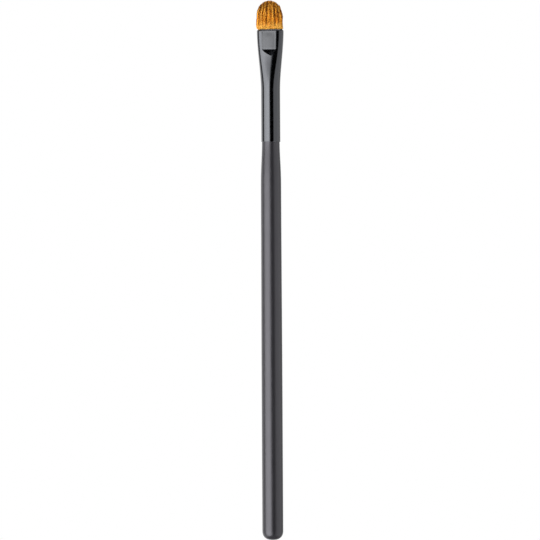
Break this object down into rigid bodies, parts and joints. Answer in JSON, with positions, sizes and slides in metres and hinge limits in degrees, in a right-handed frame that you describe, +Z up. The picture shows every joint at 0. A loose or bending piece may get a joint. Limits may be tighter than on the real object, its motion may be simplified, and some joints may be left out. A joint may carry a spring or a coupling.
{
  "type": "eyeshadow brush",
  "caption": "Slim cosmetic brush with a matte round handle, a gloss black ferrule pressed flat at its mouth, and a short golden brown tuft with a domed end.",
  "frame": {"origin": "on the brush's axis, at the middle of the straight grip next to the handle's rounded end", "axes": "+Z up the brush's axis towards the tuft, X across the width of the flat head, Y square to the head's pressed flats"},
  "size_m": [0.0092, 0.0072, 0.185],
  "materials": {
    "handle_finish": "matte soft-touch black lacquer",
    "ferrule_lacquer": "gloss black lacquer",
    "hair": "natural golden brown hair",
    "resin": "cured clear amber resin",
    "thread": "waxed cotton thread",
    "adhesive": "dried wood adhesive"
  },
  "bodies": {
    "root": {"handle": "handle_finish", "ferrule": "ferrule_lacquer", "hair_tuft": "hair", "resin_plug": "resin", "binding_thread": "thread", "tenon_glue": "adhesive"}
  },
  "joints": []
}
